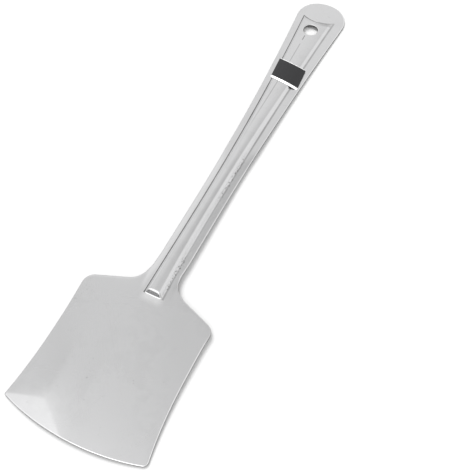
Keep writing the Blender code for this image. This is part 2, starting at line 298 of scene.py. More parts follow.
@dataclass(frozen=True)
class BentCorner:
    """The blade's left tip corner, which is bent down a little along a crease.

    Seen from above, the crease runs from the blade's left side to an apex, and from there
    back to the tip. Between the crease and the tip the sheet slopes evenly. Past the crease
    it keeps some of the slope, less and less, and further on it comes back to the plain
    blade.
    """

    side_x: float = -0.0355
    side_station: float = 0.0067
    apex_x: float = -0.0190
    apex_station: float = 0.0117
    tip_x: float = -0.0040
    tip_station: float = 0.0003
    bend: float = math.radians(4.2)
    slope_past: float = math.radians(2.8)
    side_share: float = 0.45
    length_past: float = 0.0070
    width_past: float = 0.0200
    apex_rounding: float = 0.0020
    crease_rounding: float = 0.00002
    fade_from: float = 0.0150
    fade_length: float = 0.0500

    def crease_line(self, x: Array) -> Array:
        """Return the line of the crease: two straight lines with the apex rounded.

        Args:
            x: Places across the blade.

        Returns:
            The crease's station at each place.
        """
        left_slope = (self.apex_station - self.side_station) / (self.apex_x - self.side_x)
        right_slope = (self.tip_station - self.apex_station) / (self.tip_x - self.apex_x)
        left = self.apex_station + (x - self.apex_x) * left_slope
        right = self.apex_station + (x - self.apex_x) * right_slope
        return soft_least(left, right, self.apex_rounding)

    def lift(self, tip: Array, station: Array, x: Array) -> Array:
        """Return how far the bend lifts the sheet above the plain blade.

        Args:
            tip: The station of the tip line at each x.
            station: Places along the turner.
            x: Places across it.

        Returns:
            The rise at each place, 0 along the tip and far from the corner.
        """
        inside = np.clip(station - tip, 0.0, None)
        depth = np.clip(self.crease_line(x) - tip, 0.0, None)
        past = np.clip(inside - depth, 0.0, None)
        near = smooth_step((self.tip_x + self.width_past / 2 - x) / self.width_past)
        from_side = smooth_step((x - self.side_x) / (self.apex_x - self.side_x))
        near = near * (self.side_share + (1.0 - self.side_share) * from_side)
        easing = near * self.length_past * (1.0 - np.exp(-past / self.length_past))
        over = depth * math.tan(self.bend) + easing * math.tan(self.slope_past)
        rise = soft_least(inside * math.tan(self.bend), over, self.crease_rounding)
        return rise * (1.0 - smooth_step((inside - self.fade_from) / self.fade_length))


@dataclass(frozen=True)
class Pressing:
    """The heights that the press gives to the sheet's upper face.

    The blade rises from its tip and is crowned across. The handle falls gently to its end
    pad. A rib with sloping walls and a crowned top runs along it, between drooping flanges.
    The trim stations and asides say how far to the right the blank's trimmed sides lie.
    """

    outline: Outline = field(default_factory=Outline)
    corner: BentCorner = field(default_factory=BentCorner)
    gauge: float = 0.0012
    blade_crown: float = 0.0008
    neck_height: float = 0.0026
    flange_droop: float = 0.0006
    droop_power: float = 1.6
    level_station: float = 0.1590
    level_run: float = 0.0200
    rib_start_station: float = 0.0763
    rib_end_margin: float = 0.0167
    rib_start_width: float = 0.0103
    rib_start_aside: float = 0.00035
    rib_waist_width: float = 0.0089
    rib_end_width: float = 0.0192
    rib_height: float = 0.0024
    rib_crown: float = 0.0009
    rib_end_share: float = 0.5
    taper_station: float = 0.1500
    taper_length: float = 0.0950
    rib_wall_angle: float = math.radians(56.0)
    rib_front_wall_angle: float = math.radians(53.0)
    rib_foot_radius: float = 0.0005
    rib_shoulder_radius: float = 0.0018
    rib_front_rounding: float = 0.0018
    rib_tail_rounding: float = 0.0006
    rib_aside: float = 0.00016
    rib_end_aside: float = -0.0010
    fishtail_radius: float = 0.0200
    trim_stations: tuple[float, ...] = (
        0.0, 0.050, 0.066, 0.078, 0.088, 0.102, 0.150, 0.200, 0.277, 0.300
    )
    trim_asides: tuple[float, ...] = (
        0.00035, 0.0001, -0.0001, 0.0005, -0.0002, 0.00035, 0.00042, 0.00068, 0.00045, 0.0
    )

    @property
    def fishtail_station(self) -> float:
        """Return the station where the rib's middle ends at the end pad."""
        return self.outline.overall_length - self.rib_end_margin

    def fishtail_line(self, aside: Array) -> Array:
        """Return the station of the arc where the rib ends, at a distance from its middle."""
        radius = self.fishtail_radius
        return self.fishtail_station + radius - np.sqrt(radius**2 - aside**2)

    def rib_half_width(self, station: Array) -> Array:
        """Return the rib's half width at its foot, which flares both ways from the waist.

        Args:
            station: Places along the turner.

        Returns:
            The half width at each place.
        """
        waist = self.rib_waist_width / 2
        to_blade = self.outline.before_waist(station, self.rib_start_station)
        to_end = self.outline.after_waist(station, self.fishtail_station)
        near = (self.rib_start_width / 2 - waist) * to_blade
        return waist + near + (self.rib_end_width / 2 - waist) * to_end

    def rib_middle(self, station: Array) -> Array:
        """Return the line of the rib's middle, which drifts aside towards each of its ends.

        Args:
            station: Places along the turner.

        Returns:
            The middle's x at each place.
        """
        drift = self.outline.after_waist(station, self.fishtail_station)
        to_blade = self.outline.before_waist(station, self.rib_start_station)
        return self.rib_aside + self.rib_start_aside * to_blade + self.rib_end_aside * drift

    def trim_shift(self, station: Array, x: Array) -> Array:
        """Return how far the sheet reaches aside of its rib, as its sides are trimmed.

        Along the turner the shift eases from each trim station's value to the next, and
        across it the shift grows evenly from the rib's foot to the side.

        Args:
            station: Places along the turner.
            x: Places across it, before the shift.

        Returns:
            The shift towards +x at each place.
        """
        stations, asides = np.array(self.trim_stations), np.array(self.trim_asides)
        last = np.clip(np.searchsorted(stations, station) - 1, 0, len(stations) - 2)
        share = (station - stations[last]) / (stations[last + 1] - stations[last])
        shift = asides[last] + (asides[last + 1] - asides[last]) * smooth_step(share)
        aside = np.abs(x - self.rib_middle(station))
        foot = self.rib_half_width(station)
        outside = (aside - foot) / (self.outline.handle_half_width(station) - foot)
        return shift * np.clip(outside, 0.0, 1.0)

    def wall_run(self, angle: float) -> float:
        """Return how far a wall reaches from its foot line in to its level top.

        Args:
            angle: The slope of the wall's straight part.

        Returns:
            What the two rounds and the straight part take up on the level.
        """
        rounds = self.rib_foot_radius + self.rib_shoulder_radius
        straight = (self.rib_height - rounds * (1 - math.cos(angle))) / math.tan(angle)
        return rounds * math.sin(angle) + straight

    def wall_height(self, inside: Array, angle: float) -> Array:
        """Return a wall's height at a distance inside its foot line.

        A hollow foot round turns up into a straight climb at the wall's angle, and a
        shoulder round turns that level again.

        Args:
            inside: The distance inside the foot line.
            angle: The slope of the wall's straight part.

        Returns:
            The height above the sheet, 0 outside the foot and the rib's height at the top.
        """
        foot_reach = self.rib_foot_radius * math.sin(angle)
        shoulder_reach = self.rib_shoulder_radius * math.sin(angle)
        run = self.wall_run(angle)
        low = np.clip(inside, 0.0, foot_reach)
        foot = self.rib_foot_radius - np.sqrt(self.rib_foot_radius**2 - low**2)
        climb = np.clip(inside - foot_reach, 0.0, run - foot_reach - shoulder_reach)
        left = np.clip(run - inside, 0.0, shoulder_reach)
        drop = self.rib_shoulder_radius - np.sqrt(self.rib_shoulder_radius**2 - left**2)
        shoulder = self.rib_shoulder_radius * (1 - math.cos(angle)) - drop
        return foot + climb * math.tan(angle) + shoulder

    def rib_share(self, station: Array) -> Array:
        """Return the share of its full height that the rib has left, less towards the pad."""
        done = smooth_step((station - self.taper_station) / self.taper_length)
        return 1.0 - (1.0 - self.rib_end_share) * done

    def rib(self, station: Array, x: Array) -> Array:
        """Return the rib's height: its lowest wall, and a crown that swells it in the middle.

        Args:
            station: Places along the turner.
            x: Places across it.

        Returns:
            The height above the sheet at each place, 0 outside the rib.
        """
        half = self.rib_half_width(station)
        aside = np.abs(x - self.rib_middle(station))
        tail_line = self.fishtail_line(np.minimum(aside, self.rib_end_width / 2))
        sides = self.wall_height(half - aside, self.rib_wall_angle)
        front = self.wall_height(station - self.rib_start_station, self.rib_front_wall_angle)
        tail = self.wall_height(tail_line - station, self.rib_wall_angle)
        walls = soft_least(sides, front, self.rib_front_rounding)
        walls = soft_least(walls, tail, self.rib_tail_rounding)
        crown = self.rib_crown * np.clip(1 - (aside / half) ** 2, 0.0, 1.0)
        return np.clip(walls, 0.0, None) * (1 + crown / self.rib_height) * self.rib_share(station)

    def fall_share(self, station: Array) -> Array:
        """Return the share of the neck's height that is left at a station on the handle."""
        length = self.fishtail_station - self.outline.neck_station
        return np.clip((self.fishtail_station - station) / length, 0.0, 1.0)

    def base(self, station: Array, x: Array) -> Array:
        """Return the sheet's height without its rib: the blade's rise and the handle's fall.

        The blade rises from its tip by a parabola that is level at the neck, and its crown
        falls off with the square of x. The handle falls evenly from the neck to the end pad.

        Args:
            station: Places along the turner.
            x: Places across it.

        Returns:
            The height of the sheet's underside at each place.
        """
        outline = self.outline
        reach = outline.tip_width / 2
        tip = outline.tip_line(np.clip(x, -reach, reach))
        along = np.clip((station - tip) / (outline.neck_station - tip), 0.0, 1.0)
        rise = (self.neck_height - self.blade_crown) * (1 - (1 - along) ** 2)
        across = np.clip((x / outline.blade_half_width(station)) ** 2, 0.0, 1.0)
        blade = rise + self.blade_crown * (1 - across) + self.corner.lift(tip, station, x)
        side_fall = self.blade_crown * (2 * x / outline.shoulder_width) ** 2
        handle = self.fall_share(station) * (self.neck_height - side_fall)
        return np.where(station <= outline.neck_station, blade, handle)

    def droop(self, station: Array, x: Array) -> Array:
        """Return how far the flanges bend down outside the rib, by a power of the distance.

        Args:
            station: Places along the turner.
            x: Places across it.

        Returns:
            The drop at each place, 0 before the rib and on the far part of the handle.
        """
        aside = np.abs(x - self.rib_middle(station))
        foot = self.rib_half_width(station)
        flange = self.outline.handle_half_width(station) - foot
        outwards = np.clip((aside - foot) / flange, 0.0, 1.0) ** self.droop_power
        neck = self.outline.neck_station
        onset = (station - self.rib_start_station) / (neck - self.rib_start_station)
        levelled = (station - self.level_station) / self.level_run
        easing = 1.0 - smooth_step(levelled)
        return self.flange_droop * outwards * np.clip(onset, 0.0, 1.0) * easing

    def height(self, station: Array, x: Array) -> Array:
        """Return the height of the sheet's upper face above the table."""
        return self.gauge + self.base(station, x) + self.rib(station, x) - self.droop(station, x)

    def point(self, station: Array, x: Array) -> Array:
        """Return the points of the upper face in the frame, one row of x, y, z for each."""
        y = station - self.outline.overall_length / 2
        return np.stack([x + self.trim_shift(station, x), y, self.height(station, x)], axis=-1)

    def normal(self, station: Array, x: Array, step: float = 2e-5) -> Array:
        """Return the upper face's unit normals, from central differences of its height.

        Args:
            station: Places along the turner.
            x: Places across it.
            step: The distance to each side over which the slope is taken.

        Returns:
            One unit vector for each place, pointing up out of the sheet.
        """
        along = self.height(station + step, x) - self.height(station - step, x)
        across = self.height(station, x + step) - self.height(station, x - step)
        normal = np.stack([-across, -along, np.full_like(along, 2 * step)], axis=-1)
        return normal / np.linalg.norm(normal, axis=-1, keepdims=True)


def quads_of(index: Array) -> Array:
    """Return the quads of a grid of vertex numbers, anticlockwise where rows run up."""
    corners = [index[:-1, :-1], index[:-1, 1:], index[1:, 1:], index[1:, :-1]]
    return np.stack(corners, axis=-1).reshape(-1, 4)


def ring_quads(outer: Array, inner: Array) -> Array:
    """Return the quads between two closed rings of vertex numbers, the outer one anticlockwise."""
    corners = [outer, np.roll(outer, -1), np.roll(inner, -1), inner]
    return np.stack(corners, axis=-1)


def eased(count: int) -> Array:
    """Return shares from 0 to 1 that lie closer together towards 1, by a sine."""
    return np.sin(np.linspace(0.0, math.pi / 2, count + 1))[1:]


def make_mesh(name: str, points: Array, quads: Array) -> bpy.types.Mesh:
    """Return a smooth mesh of quads.

    Args:
        name: The mesh's name.
        points: One row of x, y, z for each vertex.
        quads: One row of four vertex numbers for each face.

    Returns:
        The new mesh.
    """
    mesh = bpy.data.meshes.new(name)
    mesh.vertices.add(len(points))
    mesh.vertices.foreach_set("co", points.astype(np.float32).ravel())
    mesh.loops.add(quads.size)
    mesh.loops.foreach_set("vertex_index", quads.astype(np.int32).ravel())
    mesh.polygons.add(len(quads))
    starts = np.arange(0, quads.size, quads.shape[1], dtype=np.int32)
    mesh.polygons.foreach_set("loop_start", starts)
    mesh.update(calc_edges=True)
    mesh.validate()
    mesh.shade_smooth()
    return mesh


def add_object(name: str, data: bpy.types.ID) -> bpy.types.Object:
    """Put a mesh, a camera or a lamp into the scene.

    Args:
        name: The object's name.
        data: What the object shows.

    Returns:
        The new object, at the origin.
    """
    thing = bpy.data.objects.new(name, data)
    bpy.context.scene.collection.objects.link(thing)
    return thing


def add_piece(name: str, mesh: bpy.types.Mesh, material: bpy.types.Material) -> bpy.types.Object:
    """Put a mesh into the scene as a piece of the turner, riding on the root body.

    Args:
        name: The piece's name.
        mesh: Its surface.
        material: Its finish.

    Returns:
        The new piece.
    """
    mesh.materials.append(material)
    piece = add_object(name, mesh)
    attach(piece, "root")
    return piece


def add_values(mesh: bpy.types.Mesh, name: str, values: Array) -> None:
    """Store one number for each vertex as a named attribute of the mesh."""
    attribute = mesh.attributes.new(name, "FLOAT", "POINT")
    attribute.data.foreach_set("value", values.astype(np.float32))


@dataclass
class PressedBody:
    """The one-piece body: blade, neck, flanged handle, rib and end pad, with a hanging hole.

    The upper face is a grid of stations and x that ends a little inside the outline. The
    lower face lies one gauge below it along its normals. A rounded cut edge joins the two
    all round the outline and round the hole. Counts of rows, columns, rings and steps set
    how fine the grid is.
    """

    form: Pressing = field(default_factory=Pressing)
    edge_radius: float = 0.0005
    hole_diameter: float = 0.0087
    hole_from_rib_end: float = 0.0092
    hole_aside: float = -0.0006
    hole_margin: float = 0.0013
    top_columns: int = 9
    wall_columns: int = 12
    flange_columns: int = 11
    blade_columns: int = 52
    blade_rows: int = 124
    wall_rows: int = 12
    neck_rows: int = 12
    handle_rows: int = 170
    pad_rows: int = 14
    hole_rings: int = 6
    edge_steps: int = 4
    even_row_share: float = 0.35
    side_row_margin: float = 0.0012
    mark_reach_mm: float = 9.0
    crease_inside_mm: float = 2.95
    crease_turn: float = 0.1900
    crease_end: float = 0.2690
    crease_drift: float = 0.048

    def side_columns(self, outline: Outline, station: Array, side: int) -> Array:
        """Return the handle's columns on one side, from the rib's middle to the edge.

        Args:
            outline: The outline that the columns end on.
            station: Places along the turner.
            side: The side, -1 for the left and 1 for the right.

        Returns:
            The x of each column, as a last axis after those of the stations.
        """
        form = self.form
        half = form.rib_half_width(station)[..., None]
        middle = side * form.rib_middle(station)[..., None]
        edge = outline.handle_half_width(station)[..., None]
        run = form.wall_run(form.rib_wall_angle)
        top = middle + (half - run) * np.arange(self.top_columns) / self.top_columns
        wall = middle + half - run * np.linspace(1.0, 0.0, self.wall_columns + 1)
        flange = middle + half + (edge - middle - half) * eased(self.flange_columns)
        return side * np.concatenate([top, wall, flange], axis=-1)

    def handle_columns(self, outline: Outline, station: Array) -> Array:
        """Return all the handle's columns, from its left edge to its right.

        Args:
            outline: The outline that the columns end on.
            station: Places along the turner.

        Returns:
            The x of each column, as a last axis after those of the stations.
        """
        left = self.side_columns(outline, station, -1)
        right = self.side_columns(outline, station, 1)
        return np.concatenate([left[..., :0:-1], right], axis=-1)

    def blade_grid(self, outline: Outline) -> tuple[Array, Array]:
        """Return the blade's stations and x, on rows from the tip to the back edge.

        Each column runs from the tip line to the back line by even shares, and outside the
        neck it spreads in step with the blade's half width.

        Args:
            outline: The outline that the grid fills.

        Returns:
            The stations and the x of the grid's vertices.
        """
        form = self.form
        neck = outline.neck_station
        neck_half = outline.neck_width / 2
        shoulder_half = outline.shoulder_width / 2
        outer = neck_half + (shoulder_half - neck_half) * eased(self.blade_columns)
        inner = self.handle_columns(outline, np.array(neck))
        across = np.concatenate([-outer[::-1], inner, outer])
        spread = np.clip((np.abs(across) - neck_half) / (shoulder_half - neck_half), 0.0, 1.0)
        start = form.rib_start_station
        front_run = form.wall_run(form.rib_front_wall_angle)
        even = np.linspace(0, 1, self.blade_rows, endpoint=False)
        near_tip = 1 - eased(self.blade_rows)[::-1]
        blade_rows = start * (near_tip + self.even_row_share * (even - near_tip))
        wall_rows = start + front_run * np.linspace(0, 1, self.wall_rows + 1)
        neck_rows = np.linspace(start + front_run, neck, self.neck_rows + 1)[1:]
        along = np.concatenate([blade_rows, wall_rows, neck_rows])[:, None] / neck
        inside = np.clip(across, -neck_half, neck_half)
        beyond = np.sign(across) * spread
        tip = outline.tip_line(inside + beyond * (outline.tip_width / 2 - neck_half))
        station = tip + along * (outline.back_line(across) - tip)
        return station, inside + beyond * (outline.blade_half_width(station) - neck_half)

    def handle_grid(self, outline: Outline) -> tuple[Array, Array]:
        """Return the handle's stations and x, on rows from past the neck to the round end.

        The rows go by even shares to the top of the rib's tail, down its wall, and on over
        the pad to the end, where they lie closer together.

        Args:
            outline: The outline that the grid fills.

        Returns:
            The stations and the x of the grid's vertices.
        """
        form = self.form
        neck = outline.neck_station
        run = form.wall_run(form.rib_wall_angle)
        tail = np.array(form.fishtail_station)
        ends = self.handle_columns(outline, tail)
        aside = np.abs(ends - form.rib_middle(tail))
        rib_half = form.rib_end_width / 2
        outside = np.clip((aside - rib_half) / (ends[-1] - rib_half), 0.0, 1.0)
        foot = form.fishtail_line(np.minimum(aside, rib_half))
        side_foot = outline.end_rounding_station - self.side_row_margin
        foot = foot + (side_foot - foot) * outside
        top = foot - run
        body = np.linspace(0, 1, self.handle_rows + 1)[1:, None]
        wall = np.linspace(0, 1, self.wall_rows + 1)[1:, None]
        pad = eased(self.pad_rows)[:, None]
        end = outline.end_line(ends, ends[-1])
        rows = [neck + (top - neck) * body, top + run * wall, foot + (end - foot) * pad]
        station = np.concatenate(rows)
        every_column = self.handle_columns(outline, station)
        own = np.arange(station.shape[1])
        return station, every_column[:, own, own]

    def hole_patch(
        self, station: Array, x: Array, handle: Array
    ) -> tuple[Array, Array, Array, Array]:
        """Replace a block of the handle's grid by rings that close in on the hanging hole.

        The rings go by even shares from the block's edge to a circle, each vertex on the
        ray from the hole's centre.

        Args:
            station: Stations of all vertices so far.
            x: Their x.
            handle: Vertex numbers of the handle's grid.

        Returns:
            The rings' stations, their x, the ring of vertex numbers round the block, and
            the mask of the handle's quads that stay.
        """
        form = self.form
        centre = form.fishtail_station - self.hole_from_rib_end
        middle = form.rib_middle(np.array(centre)) + self.hole_aside
        radius = self.hole_diameter / 2 + self.edge_radius
        reach = radius + self.hole_margin
        column = handle.shape[1] // 2
        inside_rows = np.abs(station[handle[:, column]] - centre) < reach
        row = int(np.argmin(np.abs(station[handle[:, column]] - centre)))
        inside_columns = np.abs(x[handle[row]] - middle) < reach
        low = int(np.argmax(inside_rows))
        high = low + int(inside_rows.sum()) - 1
        left = int(np.argmax(inside_columns))
        right = left + int(inside_columns.sum()) - 1
        sides = [
            handle[low, left:right], handle[low:high, right],
            handle[high, right:left:-1], handle[high:low:-1, left],
        ]
        loop = np.concatenate(sides)
        angle = np.arctan2(station[loop] - centre, x[loop] - middle)
        share = np.linspace(0, 1, self.hole_rings + 1)[1:, None]
        ring_station = station[loop] + (centre + radius * np.sin(angle) - station[loop]) * share
        ring_x = x[loop] + (middle + radius * np.cos(angle) - x[loop]) * share
        keep = np.ones((handle.shape[0] - 1, handle.shape[1] - 1), bool)
        keep[low:high, left:right] = False
        return ring_station, ring_x, loop, keep.ravel()

    def build(self) -> tuple[Array, Array, dict[str, Array]]:
        """Build the whole shell.

        Returns:
            The shell's points, its quads, and the values for its attributes by name.
        """
        form = self.form
        outline = form.outline.drawn_in(self.edge_radius)
        blade_station, blade_x = self.blade_grid(outline)
        handle_station, handle_x = self.handle_grid(outline)
        blade = np.arange(blade_x.size).reshape(blade_x.shape)
        inner = handle_x.shape[1]
        start = (blade.shape[1] - inner) // 2
        stop = start + inner
        rest = blade_x.size + np.arange(handle_x.size).reshape(handle_x.shape)
        handle = np.concatenate([blade[-1:, start:stop], rest])
        station = np.concatenate([blade_station.ravel(), handle_station.ravel()])
        x = np.concatenate([blade_x.ravel(), handle_x.ravel()])
        ring_station, ring_x, block, keep = self.hole_patch(station, x, handle)
        rings = station.size + np.arange(ring_x.size).reshape(ring_x.shape)
        rings = np.concatenate([block[None, :], rings])
        station = np.concatenate([station, ring_station.ravel()])
        x = np.concatenate([x, ring_x.ravel()])
        ring_faces = [ring_quads(rings[i], rings[i + 1]) for i in range(self.hole_rings)]
        face_quads = np.concatenate([quads_of(blade), quads_of(handle)[keep], *ring_faces])
        around = np.concatenate([
            blade[0], blade[1:, -1], blade[-1, -2:stop - 2:-1], handle[1:, -1],
            handle[-1, -2::-1], handle[-2:0:-1, 0], blade[-1, start::-1], blade[-2:0:-1, 0],
        ])
        upper = form.point(station, x)
        normal = form.normal(station, x)
        lower = upper - form.gauge * normal
        count = len(upper)
        points = [upper, lower]
        quads = [face_quads, face_quads[:, ::-1] + count]
        total = 2 * count
        turned = [np.zeros(total)]
        for loop in (around, rings[-1][::-1]):
            edge, edge_quads, turn = self.cut_edge(upper, normal, loop, total, count)
            points.append(edge)
            quads.append(edge_quads)
            turned.append(turn)
            total += len(edge)
        values = {"cut_edge": np.concatenate(turned)}
        for name, numbers in self.marks(station, x).items():
            away = np.full(total - 2 * count, self.mark_reach_mm)
            values[name] = np.concatenate([numbers, numbers, away])
        return np.concatenate(points), np.concatenate(quads), values

    def marks(self, station: Array, x: Array) -> dict[str, Array]:
        """Return how far each place lies from the lines that the finish follows.

        Args:
            station: Places along the turner.
            x: Places across it.

        Returns:
            Distances in millimetres by name: inside the rib's foot line, before its tail's
            foot line, and to the right of the fine crease along its left side. Where a line
            doesn't reach, its distance is the marks' full reach.
        """
        form = self.form
        reach = self.mark_reach_mm
        aside = x - form.rib_middle(station)
        half = form.rib_half_width(station)
        tail_line = form.fishtail_line(np.minimum(np.abs(aside), form.rib_end_width / 2))
        foot = MM_PER_M * np.minimum(half - np.abs(aside), tail_line - station)
        foot = np.where(station > form.rib_start_station, foot, -reach)
        tail = np.where(np.abs(aside) < half, MM_PER_M * (tail_line - station), reach)
        crease = MM_PER_M * (aside + half) - self.crease_inside_mm
        past = MM_PER_M * np.clip(station - self.crease_turn, 0.0, None)
        crease = crease - self.crease_drift * past
        crease = np.where((foot > 0) & (station < self.crease_end), crease, reach)
        named = {"foot": foot, "tail": tail, "crease": crease}
        return {name: np.clip(away, -reach, reach) for name, away in named.items()}

    def cut_edge(
        self, upper: Array, normal: Array, loop: Array, first: int, count: int
    ) -> tuple[Array, Array, Array]:
        """Build the rounded cut edge along one loop of the upper face's rim.

        Going round, the way out is the tangent times the normal. The profile is a quarter
        round from the upper face, a straight cut, and a quarter round to the lower face.

        Args:
            upper: Points of the upper face.
            normal: Its unit normals.
            loop: Vertex numbers of the rim, with the sheet on the left going round.
            first: The number of the first new vertex.
            count: How many vertices each face has.

        Returns:
            The new points, the quads of the edge, and how far each point is turned out, as
            a share of the turn from the upper face to the straight cut.
        """
        rim = upper[loop]
        up = normal[loop]
        tangent = np.roll(rim, -1, axis=0) - np.roll(rim, 1, axis=0)
        out = np.cross(tangent, up)
        out /= np.linalg.norm(out, axis=1, keepdims=True)
        radius = self.edge_radius
        turn = np.linspace(0, math.pi / 2, self.edge_steps + 1)
        turns = np.concatenate([turn[1:], math.pi - turn[::-1][:-1]])[:, None, None]
        depth = np.where(turns <= math.pi / 2, radius, self.form.gauge - radius)
        rings = rim - up * depth + radius * (out * np.sin(turns) + up * np.cos(turns))
        index = first + np.arange(rings.shape[0] * len(loop)).reshape(rings.shape[0], len(loop))
        index = np.concatenate([loop[None, :], index, loop[None, :] + count])
        following = np.roll(index, -1, axis=1)
        corners = [following[:-1], index[:-1], index[1:], following[1:]]
        turned = np.broadcast_to(np.clip(turns / (math.pi / 2), 0.0, 1.0)[..., 0], rings.shape[:2])
        return rings.reshape(-1, 3), np.stack(corners, axis=-1).reshape(-1, 4), turned.ravel()

    def make(self, finish: "SteelFinish") -> bpy.types.Object:
        """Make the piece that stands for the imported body, and dress it.

        Args:
            finish: The steel's finish.

        Returns:
            The new piece.
        """
        points, quads, values = self.build()
        mesh = make_mesh("pressed_body", points, quads)
        for name, numbers in values.items():
            add_values(mesh, name, numbers)
        piece = add_piece("pressed_body", mesh, finish.material())
        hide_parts(Node.BODY.value)
        log.info("%s: %d vertices, %d quads", piece.name, len(points), len(quads))
        return piece


@dataclass(frozen=True)
class Noise:
    """A pattern of soft noise: its scale, its detail and its roughness."""

    scale: float
    detail: float = 2.0
    rough: float = 0.5


class Nodes:
    """A small hand for building one node tree, from named sockets."""

    def __init__(self, tree: bpy.types.NodeTree) -> None:
        """Take over a tree and empty it."""
        self.tree = tree
        tree.nodes.clear()

    def add(self, kind: str, settings: dict | None = None, **inputs: object) -> bpy.types.Node:
        """Add a node.

        Args:
            kind: The node's type without its ShaderNode prefix.
            settings: The node's own properties by name.
            **inputs: Values or output sockets for its inputs, by socket name with
                underscores for spaces, or by number after the letter i.

        Returns:
            The new node.
        """
        node = self.tree.nodes.new("ShaderNode" + kind)
        for name, value in (settings or {}).items():
            setattr(node, name, value)
        for name, value in inputs.items():
            numbered = name[0] == "i" and name[1:].isdigit()
            socket = node.inputs[int(name[1:]) if numbered else name.replace("_", " ")]
            if isinstance(value, bpy.types.NodeSocket):
                self.tree.links.new(value, socket)
            else:
                socket.default_value = value
        return node

    def math(self, operation: str, first: Value, second: Value = 0.0, clamp: bool = False) -> Value:
        """Return the output of a Math node of two values."""
        settings = {"operation": operation, "use_clamp": clamp}
        return self.add("Math", settings, i0=first, i1=second).outputs[0]

    def product(self, *values: Value) -> Value:
        """Return the product of two values or more."""
        return reduce(partial(self.math, "MULTIPLY"), values)

    def greatest(self, *values: Value) -> Value:
        """Return the greatest of two values or more."""
        return reduce(partial(self.math, "MAXIMUM"), values)

    def total(self, *values: Value) -> Value:
        """Return the sum of two values or more."""
        return reduce(partial(self.math, "ADD"), values)

    def ramp(self, value: Value, ramp: Ramp) -> Value:
        """Return a value mapped smoothly from a span to the two values at the span's ends.

        Args:
            value: The value to map.
            ramp: The span's ends, and the values at them, which are held past the ends.

        Returns:
            The mapped value.
        """
        low, high, to_low, to_high = ramp
        settings = {"interpolation_type": "SMOOTHSTEP"}
        node = self.add("MapRange", settings, i0=value, i1=low, i2=high, i3=to_low, i4=to_high)
        return node.outputs[0]

    def band(self, value: Value, band: Band) -> Value:
        """Return 1 where a value lies in a band's full stretch, fading to 0 at its ends.

        Args:
            value: The value to place in the band.
            band: The band's start, its full stretch's ends, and its own end.

        Returns:
            The product of a smooth rise and a smooth fall.
        """
        low, full_low, full_high, high = band
        rise = self.ramp(value, (low, full_low, 0.0, 1.0))
        return self.product(rise, self.ramp(value, (full_high, high, 1.0, 0.0)))

    def mix(self, share: Value, first: Value | Colour, second: Value | Colour) -> Value:
        """Return the colour that lies by a share between two colours."""
        return self.add("Mix", {"data_type": "RGBA"}, i0=share, i6=first, i7=second).outputs[2]

    def axes(self, place: Value) -> Sequence[Value]:
        """Return the x, y and z of a place."""
        return self.add("SeparateXYZ", Vector=place).outputs

    def mark(self, name: str) -> Value:
        """Return the value of one of the mesh's named attributes."""
        return self.add("Attribute", {"attribute_name": name}).outputs["Fac"]

    def noise(self, place: Value, noise: Noise) -> Value:
        """Return the value of a noise pattern at a place."""
        values = {"Scale": noise.scale, "Detail": noise.detail, "Roughness": noise.rough}
        return self.add("TexNoise", Vector=place, **values).outputs[0]

    def stretched(self, place: Value, turn: float, squeeze: float) -> Value:
        """Return a place for patterns that run in streaks.

        Args:
            place: The place.
            turn: Its turn about Z, in radians.
            squeeze: The factor that then draws patterns out along Y.

        Returns:
            The turned and squeezed place.
        """
        settings = {"vector_type": "POINT"}
        turned = self.add("Mapping", settings, Vector=place, Rotation=(0.0, 0.0, turn)).outputs[0]
        return self.add("Mapping", settings, Vector=turned, Scale=(1.0, squeeze, 1.0)).outputs[0]


@dataclass(frozen=True)
class ScratchRun:
    """One direction of scratches: its turn, the scale across it and the squeeze along it."""

    turn: float
    scale: float
    squeeze: float


